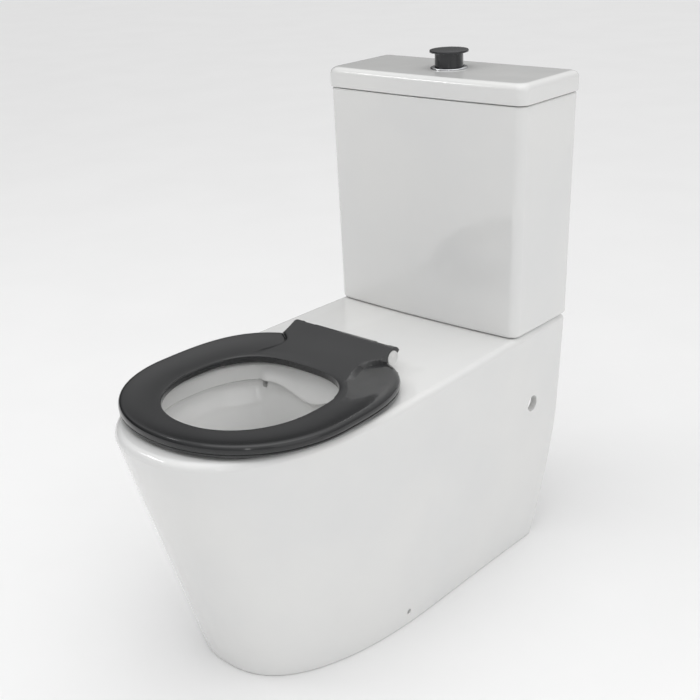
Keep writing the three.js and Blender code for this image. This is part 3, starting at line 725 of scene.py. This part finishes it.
def seat_ring():
    """The ring itself: one section swept round between the hole's outline and the outer one."""
    rings = []
    steps = 220
    for i in range(steps):
        angle = 2 * math.pi * i / steps
        x0, y0 = egg_point(HOLE_PLAN, angle)
        x1, y1 = egg_point(SEAT_PLAN, angle)
        ring = []
        for share, height in SEAT_SECTION:
            ring.append((mix(x0, x1, share), mix(y0, y1, share), SEAT_LOW.z + height))
        rings.append(ring)
    return loft("seat_ring", rings, closed=True)


def block_edge(y):
    """How far out the raised block reaches at y, and half the width of the sweep down its side."""
    ahead = BLOCK["waist_y"] - y
    if ahead > 0:
        edge = BLOCK["waist"] + 0.4 * ahead * ahead / (ahead + 0.008)
    else:
        edge = BLOCK["waist"] + 51 * ahead * ahead
    return edge, mix(0.0045, 0.013, min(1.0, max(0.0, ahead + 0.01) / 0.06))


def block_share(x, y):
    """1 on the raised block's top, and 0 outside its side sweeps and at the edge of the seat's hole."""
    edge, side = block_edge(y)
    across = smooth_step((edge + side - abs(x)) / (2 * side))
    span = max(0.0, 1 - (abs(x) / HOLE_PLAN["half"]) ** HOLE_PLAN["rear"]) ** (1 / HOLE_PLAN["rear"])
    hole_edge = HOLE_PLAN["wide"] + (HOLE_PLAN["back"] - HOLE_PLAN["wide"]) * span
    return across * smooth_step((y - hole_edge - 0.001) / 0.014)


def block_profile(x):
    """The raised block in side view at one place across: up the slope and round over the barrel."""
    base = SEAT_LOW.z + 0.0108
    low = SEAT_LOW.z + 0.001
    points = [(PLATEAU[0][0], low), (PLATEAU[0][0], base)]
    for spot in curve_points([(0, y, z) for y, z in PLATEAU], 40):
        points.append((spot.y, mix(base, spot.z, block_share(x, spot.y))))
    start, end = math.radians(97), math.radians(28)
    for i in range(13):
        angle = mix(start, end, i / 12)
        y = HINGE_Y + BLOCK["wrap"] * math.cos(angle)
        points.append((y, HINGE_Z + BLOCK["wrap"] * math.sin(angle)))
    tip = BARREL_R + 0.0008
    for i in range(4):
        angle = mix(math.radians(26), math.radians(24), i / 3)
        radius = mix(BLOCK["wrap"] - 0.001, tip, i / 3)
        points.append((HINGE_Y + radius * math.cos(angle), HINGE_Z + radius * math.sin(angle)))
    points.append((HINGE_Y + tip * math.cos(math.radians(24)), HINGE_Z - 0.009))
    points.append((HINGE_Y - BARREL_R - 0.003, low))
    return points


def raised_block():
    across = 180
    places = [mix(-0.137, 0.137, i / across) for i in range(across + 1)]
    return loft("raised_block", [[(x, y, z) for y, z in block_profile(x)] for x in places])


def seat_hole():
    """A straight cutter that keeps the raised block out of the seat's hole."""
    steps = 96
    outline = [egg_point(HOLE_PLAN, 2 * math.pi * i / steps) for i in range(steps)]
    return loft("hole", [[(x, y, z) for x, y in outline] for z in SEAT_CUT_Z])


def hinge_room(sign):
    """The room that one hinge barrel and its foot need under the raised block."""
    room = BARREL_R + 0.0006
    inner, outer = sign * 0.0575, sign * (BLOCK["half"] + 0.003)
    low_x, high_x = sorted((inner, outer))
    notch_low, notch_high = sorted((sign * (HINGE_BOLT_X - 0.015), sign * (HINGE_BOLT_X + 0.015)))
    return (
        bar("barrel_room", [room, room], [inner, outer], HINGE_Y, HINGE_Z, 64),
        block("below", (low_x, HINGE_Y - room, DECK), (high_x, HINGE_Y + 0.04, HINGE_Z)),
        block("notch", (notch_low, HINGE_Y + 0.003, DECK), (notch_high, HINGE_Y + 0.04, 0.49)),
    )


def make_seat(material):
    half = BLOCK["half"]
    under, over = SEAT_CUT_Z
    block_body = raised_block()
    ends = []
    for sign in (-1, 1):
        low_x, high_x = sorted((sign * half, sign * 0.15))
        ends.append(block("end", (low_x, -0.0045, under), (high_x, 0.06, over)))
    cut(block_body, *ends)
    body = join(seat_ring(), block_body)
    tools = [seat_hole(), *hinge_room(-1), *hinge_room(1)]
    tools.append(bar("rod_room", [PIN_R, PIN_R], [-half, half], HINGE_Y, HINGE_Z, 24))
    cut(body, *tools)
    return settle(body, "seat", "seat_plastic", material, "seat_ring", angle=30)


def make_spring(material):
    """The button's return spring, made at one fixed length, though the real one shortens as the button goes
    down.
    """
    low, high = SPRING_LOW.z, SPRING_HIGH.z
    wire = 0.0009
    coil = (SPRING_HIGH.x - SPRING_LOW.x) / 2 - wire
    turns, steps, around = 5, 40, 10
    rings = []
    for i in range(turns * steps + 1):
        angle = 2 * math.pi * i / steps
        out = Vector((math.cos(angle), math.sin(angle), 0))
        centre = out * coil + Vector((0, VALVE_Y, mix(low + wire, high - wire, i / (turns * steps))))
        ring = []
        for k in range(around):
            turn = 2 * math.pi * k / around
            ring.append(centre + out * wire * math.cos(turn) + Vector((0, 0, wire * math.sin(turn))))
        rings.append(ring)
    spring = loft("button_spring", rings)
    settle(spring, "lid", "stainless_steel", material, "button_spring", angle=60)
    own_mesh(spring)


def make_barrel(side, sign, material):
    """A hinge barrel with softened ends and a shallow cap, on its foot."""
    inner = min(abs(BARREL_LOW.x), abs(BARREL_HIGH.x))
    outer = max(abs(BARREL_LOW.x), abs(BARREL_HIGH.x))
    r = BARREL_R
    soft = 0.0012
    radii = [r - soft, r - soft * 0.3, r, r, r - soft * 0.3, r - soft, r - 0.0025, r - 0.003]
    places = [inner, inner + soft * 0.3, inner + soft]
    places += [outer - soft, outer - soft * 0.3, outer, outer, outer - 0.0006]
    body = bar("hinge_barrel_" + side, radii, [sign * x for x in places], HINGE_Y, HINGE_Z, 96)
    centre = sign * HINGE_BOLT_X
    outline = rounded([(-0.012, -0.0085), (0.012, -0.0085), (0.012, 0.0085), (-0.012, 0.0085)], 0.003)
    foot = [[(centre + x, HINGE_Y + y, z) for x, y in outline] for z in (BARREL_LOW.z, HINGE_Z)]
    join(body, loft("foot", foot))
    rod = sorted((0.0, sign * 0.0685))
    cut(
        body,
        bar("rod_hole", [PIN_R, PIN_R], rod, HINGE_Y, HINGE_Z, 24),
        post("bolt_hole", PIN_R, DECK, HINGE_Z + 0.02, centre, HINGE_Y, 24),
        post("head_hole", 0.007, HINGE_Z - 0.002, HINGE_Z + 0.02, centre, HINGE_Y, 32),
    )
    settle(body, "pan_and_cistern", "hinge_white", material, "hinge_barrel_" + side)


# ---- Materials ---------------------------------------------------------------------------------
class Paint:
    """A node material around one Principled shader, with object-space coordinates in metres."""

    def __init__(self, name, color, roughness, **sockets):
        self.material = bpy.data.materials.new(name)
        self.material.use_nodes = True
        self.nodes = self.material.node_tree.nodes
        self.links = self.material.node_tree.links
        self.shader = self.nodes["Principled BSDF"]
        self.shader.inputs["Base Color"].default_value = (*color, 1)
        self.shader.inputs["Roughness"].default_value = roughness
        for key, value in sockets.items():
            self.shader.inputs[key.replace("_", " ")].default_value = value
        self.place = self.nodes.new("ShaderNodeTexCoord").outputs["Object"]
        self.height = None

    def noise(self, scale, detail=2.0, stretch=None):
        source = self.place
        if stretch:
            mapping = self.nodes.new("ShaderNodeMapping")
            mapping.inputs["Scale"].default_value = stretch
            self.links.new(source, mapping.inputs["Vector"])
            source = mapping.outputs["Vector"]
        node = self.nodes.new("ShaderNodeTexNoise")
        node.inputs["Scale"].default_value = scale
        node.inputs["Detail"].default_value = detail
        self.links.new(source, node.inputs["Vector"])
        return node.outputs["Fac"]

    def spread(self, value, low, high, start=0.35, end=0.65):
        """The value's middle band spread over low to high."""
        node = self.nodes.new("ShaderNodeMapRange")
        node.inputs["From Min"].default_value = start
        node.inputs["From Max"].default_value = end
        node.inputs["To Min"].default_value = low
        node.inputs["To Max"].default_value = high
        self.links.new(value, node.inputs["Value"])
        return node.outputs["Result"]

    def rough(self, scale, low, high, detail=3.0, stretch=None):
        value = self.spread(self.noise(scale, detail, stretch), low, high)
        self.links.new(value, self.shader.inputs["Roughness"])
        return self

    def tint(self, scale, first, second, edge=None, detail=3.0):
        """Colour that drifts between two close tones, and towards a third along convex edges."""
        ramp = self.nodes.new("ShaderNodeValToRGB")
        ramp.color_ramp.elements[0].position = 0.35
        ramp.color_ramp.elements[0].color = (*first, 1)
        ramp.color_ramp.elements[1].position = 0.65
        ramp.color_ramp.elements[1].color = (*second, 1)
        self.links.new(self.noise(scale, detail), ramp.inputs["Fac"])
        color = ramp.outputs["Color"]
        if edge:
            worn = self.nodes.new("ShaderNodeMix")
            worn.data_type = "RGBA"
            worn.inputs["B"].default_value = (*edge, 1)
            pointed = self.nodes.new("ShaderNodeNewGeometry").outputs["Pointiness"]
            self.links.new(self.spread(pointed, 0.0, 0.6, 0.53, 0.62), worn.inputs["Factor"])
            self.links.new(color, worn.inputs["A"])
            color = worn.outputs["Result"]
        self.links.new(color, self.shader.inputs["Base Color"])
        return self

    def bump(self, scale, depth, detail=2.0, stretch=None, strength=1.0):
        node = self.nodes.new("ShaderNodeBump")
        node.inputs["Distance"].default_value = depth
        node.inputs["Strength"].default_value = strength
        self.links.new(self.noise(scale, detail, stretch), node.inputs["Height"])
        if self.height:
            self.links.new(self.height, node.inputs["Normal"])
        self.height = node.outputs["Normal"]
        self.links.new(self.height, self.shader.inputs["Normal"])
        return self


def china_paint():
    """Glazed vitreous china: a clear gloss over white, faintly uneven as a fired glaze is."""
    paint = Paint("glazed_china", (0.78, 0.78, 0.77), 0.1, Coat_Weight=0.4, Coat_Roughness=0.05)
    paint.tint(5.0, (0.765, 0.768, 0.765), (0.795, 0.795, 0.785), edge=(0.74, 0.735, 0.72))
    paint.rough(9.0, 0.10, 0.17)
    paint.bump(14.0, 0.00045, detail=1.0).bump(420.0, 0.000012, detail=2.0)
    return paint.material


def gloss_plastic(name, dark, light, roughness, edge):
    paint = Paint(name, dark, roughness, Specular_IOR_Level=0.35, Coat_Weight=0.45, Coat_Roughness=0.05)
    paint.tint(9.0, dark, light, edge=edge)
    paint.rough(30.0, roughness * 0.8, roughness * 1.35)
    paint.bump(26.0, 0.00012, detail=1.0).bump(900.0, 0.000008)
    return paint.material


def matte_plastic(name, dark, light, roughness=0.42):
    paint = Paint(name, dark, roughness)
    paint.tint(14.0, dark, light, edge=tuple(min(1.0, c * 1.08) for c in light))
    paint.rough(60.0, roughness * 0.85, roughness * 1.2)
    paint.bump(1400.0, 0.00003, detail=2.0)
    return paint.material


def chrome_paint():
    paint = Paint("chrome", (0.72, 0.73, 0.75), 0.06, Metallic=1.0)
    paint.tint(40.0, (0.70, 0.71, 0.73), (0.76, 0.77, 0.78))
    paint.rough(120.0, 0.04, 0.12)
    paint.bump(60.0, 0.00004, detail=1.0)
    return paint.material


def metal_paint(name, dark, light, roughness, stretch):
    """A drawn or brushed metal, with fine lines along the direction that stretch leaves long."""
    paint = Paint(name, dark, roughness, Metallic=1.0)
    paint.tint(35.0, dark, light)
    paint.rough(260.0, roughness * 0.8, roughness * 1.4, stretch=stretch)
    paint.bump(500.0, 0.00004, stretch=stretch)
    return paint.material


def rubber_paint():
    paint = Paint("rubber", (0.02, 0.02, 0.02), 0.7)
    paint.tint(45.0, (0.016, 0.016, 0.016), (0.030, 0.030, 0.029), edge=(0.06, 0.06, 0.058))
    paint.rough(80.0, 0.6, 0.85)
    paint.bump(700.0, 0.00006, detail=3.0)
    return paint.material


def make_paints():
    return {
        "vitreous_china": china_paint(),
        "seat_plastic": gloss_plastic(
            "seat_plastic", (0.015, 0.0155, 0.0165), (0.020, 0.0205, 0.0215), 0.15, (0.034, 0.035, 0.037)
        ),
        "button_grey": gloss_plastic(
            "button_grey", (0.016, 0.017, 0.019), (0.021, 0.022, 0.024), 0.2, (0.045, 0.046, 0.05)
        ),
        "hinge_white": gloss_plastic(
            "hinge_white", (0.74, 0.74, 0.73), (0.78, 0.78, 0.77), 0.22, (0.8, 0.8, 0.79)
        ),
        "chrome_ring": chrome_paint(),
        "white_plastic": matte_plastic("white_plastic", (0.72, 0.72, 0.70), (0.78, 0.78, 0.76)),
        "blue_plastic": matte_plastic("blue_plastic", (0.10, 0.19, 0.31), (0.13, 0.23, 0.36)),
        "grey_plastic": matte_plastic("grey_plastic", (0.30, 0.31, 0.32), (0.35, 0.36, 0.37)),
        "black_rubber": rubber_paint(),
        "stainless_steel": metal_paint(
            "stainless_steel", (0.52, 0.52, 0.53), (0.60, 0.60, 0.60), 0.28, (1, 1, 0.08)
        ),
        "brass": metal_paint("brass", (0.52, 0.38, 0.14), (0.62, 0.46, 0.19), 0.3, (1, 1, 0.1)),
    }


def smooth_group(angle=40):
    """Modifier nodes that shade evenly across every edge that turns less than the angle."""
    group = bpy.data.node_groups.new("even_shading", "GeometryNodeTree")
    group.interface.new_socket("Geometry", in_out="INPUT", socket_type="NodeSocketGeometry")
    group.interface.new_socket("Geometry", in_out="OUTPUT", socket_type="NodeSocketGeometry")
    nodes, links = group.nodes, group.links
    faces = nodes.new("GeometryNodeSetShadeSmooth")
    faces.domain = "FACE"
    edges = nodes.new("GeometryNodeSetShadeSmooth")
    edges.domain = "EDGE"
    turn = nodes.new("GeometryNodeInputMeshEdgeAngle")
    flatter = nodes.new("FunctionNodeCompare")
    flatter.data_type = "FLOAT"
    flatter.operation = "LESS_THAN"
    flatter.inputs[1].default_value = math.radians(angle)
    links.new(nodes.new("NodeGroupInput").outputs[0], faces.inputs[0])
    links.new(faces.outputs[0], edges.inputs[0])
    links.new(turn.outputs["Unsigned Angle"], flatter.inputs[0])
    links.new(flatter.outputs["Result"], edges.inputs["Shade Smooth"])
    links.new(edges.outputs[0], nodes.new("NodeGroupOutput").inputs[0])
    return group


def dress_cad_nodes(paints):
    """Gives each CAD node that still shows its slot's material, softened edges and even shading.
    The edges and the shading are modifiers, so no CAD mesh changes its shape."""
    slots = {part["node"]: part["material_slot"] for part in frame["record"]["subparts"]}
    group = smooth_group()
    for name, node in frame["nodes"].items():
        if node.hide_render:
            continue
        node.data.materials.clear()
        node.data.materials.append(paints[slots[name]])
        bevel = node.modifiers.new("soft_edges", "BEVEL")
        bevel.width = 0.0004
        bevel.segments = 2
        bevel.limit_method = "ANGLE"
        bevel.angle_limit = math.radians(40)
        bevel.harden_normals = False
        node.modifiers.new("even_shading", "NODES").node_group = group


# ---- Stage -------------------------------------------------------------------------------------
WORLD_SPREAD = (0.15, 0.36, 1.50)  # the studio's brightness towards either side, front or back, and overhead
WORLD_LEAN = 0.26  # how much brighter its right side is, and darker its left
BACKDROP = 0.85  # how bright the studio looks behind the floor
STUDIO_LIGHTS = (  # name, place, size in metres and power in watts
    ("key", (3.2, -0.6, 1.6), (2.6, 2.2), 8),
    ("top", (0.1, -0.3, 3.2), (2.4, 2.4), 8),
    ("edge", (-1.8, -1.5, 2.5), (1.2, 0.40), 11),
    ("strip", (1.9, -2.6, 1.5), (0.22, 1.5), 3),
)


def plain(name, color, roughness):
    paint = Paint(name, color, roughness)
    paint.tint(3.0, tuple(c * 0.985 for c in color), color)
    paint.bump(300.0, 0.00002)
    return paint.material


def make_floor():
    reach = 40.0
    corners = [(-reach, -reach, 0), (reach, -reach, 0), (reach, reach, 0), (-reach, reach, 0)]
    floor = new_object("floor", corners, [(0, 1, 2, 3)])
    floor.location.z = -0.0005  # just under the pan's foot
    floor.data.materials.append(plain("floor_paint", (0.93, 0.93, 0.93), 0.6))


def area_light(name, place, target, size, power):
    data = bpy.data.lights.new(name, "AREA")
    data.shape = "RECTANGLE"
    data.size, data.size_y = size
    data.energy = power
    light = bpy.data.objects.new(name, data)
    light.location = place
    light.rotation_euler = (Vector(target) - Vector(place)).to_track_quat("-Z", "Y").to_euler()
    bpy.context.scene.collection.objects.link(light)


def make_world():
    """A soft studio, brightest overhead and lighter on its right, that is seen as an even pale backdrop."""
    world = bpy.data.worlds.new("studio")
    bpy.context.scene.world = world
    world.use_nodes = True
    nodes, links = world.node_tree.nodes, world.node_tree.links
    direction = nodes.new("ShaderNodeTexCoord").outputs["Generated"]
    squares = nodes.new("ShaderNodeVectorMath")
    squares.operation = "MULTIPLY"
    spread = nodes.new("ShaderNodeVectorMath")
    spread.operation = "DOT_PRODUCT"
    spread.inputs[1].default_value = WORLD_SPREAD
    lean = nodes.new("ShaderNodeVectorMath")
    lean.operation = "DOT_PRODUCT"
    lean.inputs[1].default_value = (WORLD_LEAN, 0, 0)
    total = nodes.new("ShaderNodeMath")
    total.operation = "ADD"
    lifted = nodes.new("ShaderNodeMath")
    lifted.operation = "MAXIMUM"
    lifted.inputs[1].default_value = 0.01
    links.new(direction, squares.inputs[0])
    links.new(direction, squares.inputs[1])
    links.new(direction, lean.inputs[0])
    links.new(squares.outputs["Vector"], spread.inputs[0])
    links.new(spread.outputs["Value"], total.inputs[0])
    links.new(lean.outputs["Value"], total.inputs[1])
    links.new(total.outputs["Value"], lifted.inputs[0])
    backdrop = nodes.new("ShaderNodeMix")
    backdrop.inputs["B"].default_value = BACKDROP
    links.new(nodes.new("ShaderNodeLightPath").outputs["Is Camera Ray"], backdrop.inputs["Factor"])
    links.new(lifted.outputs["Value"], backdrop.inputs["A"])
    links.new(backdrop.outputs["Result"], nodes["Background"].inputs["Strength"])
    nodes["Background"].inputs["Color"].default_value = (1, 1, 1, 1)


def make_light():
    make_world()
    for name, place, size, power in STUDIO_LIGHTS:
        area_light(name, place, (0, 0, 0.45), size, power)
    bpy.context.scene.view_settings.view_transform = "Standard"


def make_camera():
    """The photograph's view: from the front right, a little above the cistern's lid."""
    place = Vector((1.1515, -1.2556, 1.1499))
    target = Vector((0.0, 0.0, 0.420))
    roll = math.radians(-2.74)
    data = bpy.data.cameras.new("camera")
    data.sensor_width = 36
    data.lens = 59.12
    data.shift_x = 0.0234
    data.shift_y = 0.0214
    camera = bpy.data.objects.new("camera", data)
    camera.location = place
    turn = (target - place).to_track_quat("-Z", "Y").to_matrix()
    back = turn.col[2]
    right = turn.col[0] * math.cos(roll) + turn.col[1] * math.sin(roll)
    up = back.cross(right)
    turn.col[0], turn.col[1] = right, up
    camera.rotation_euler = turn.to_euler()
    bpy.context.scene.collection.objects.link(camera)
    bpy.context.scene.camera = camera


make_camera()
make_light()
make_floor()
PAINTS = make_paints()
make_pan(PAINTS["vitreous_china"])
make_tank(PAINTS["vitreous_china"])
make_lid(PAINTS["vitreous_china"])
make_button(PAINTS["button_grey"])
make_bezel(PAINTS["chrome_ring"])
make_spring(PAINTS["stainless_steel"])
make_seat(PAINTS["seat_plastic"])
for side_name, side_sign in (("left", -1), ("right", 1)):
    make_barrel(side_name, side_sign, PAINTS["hinge_white"])
dress_cad_nodes(PAINTS)
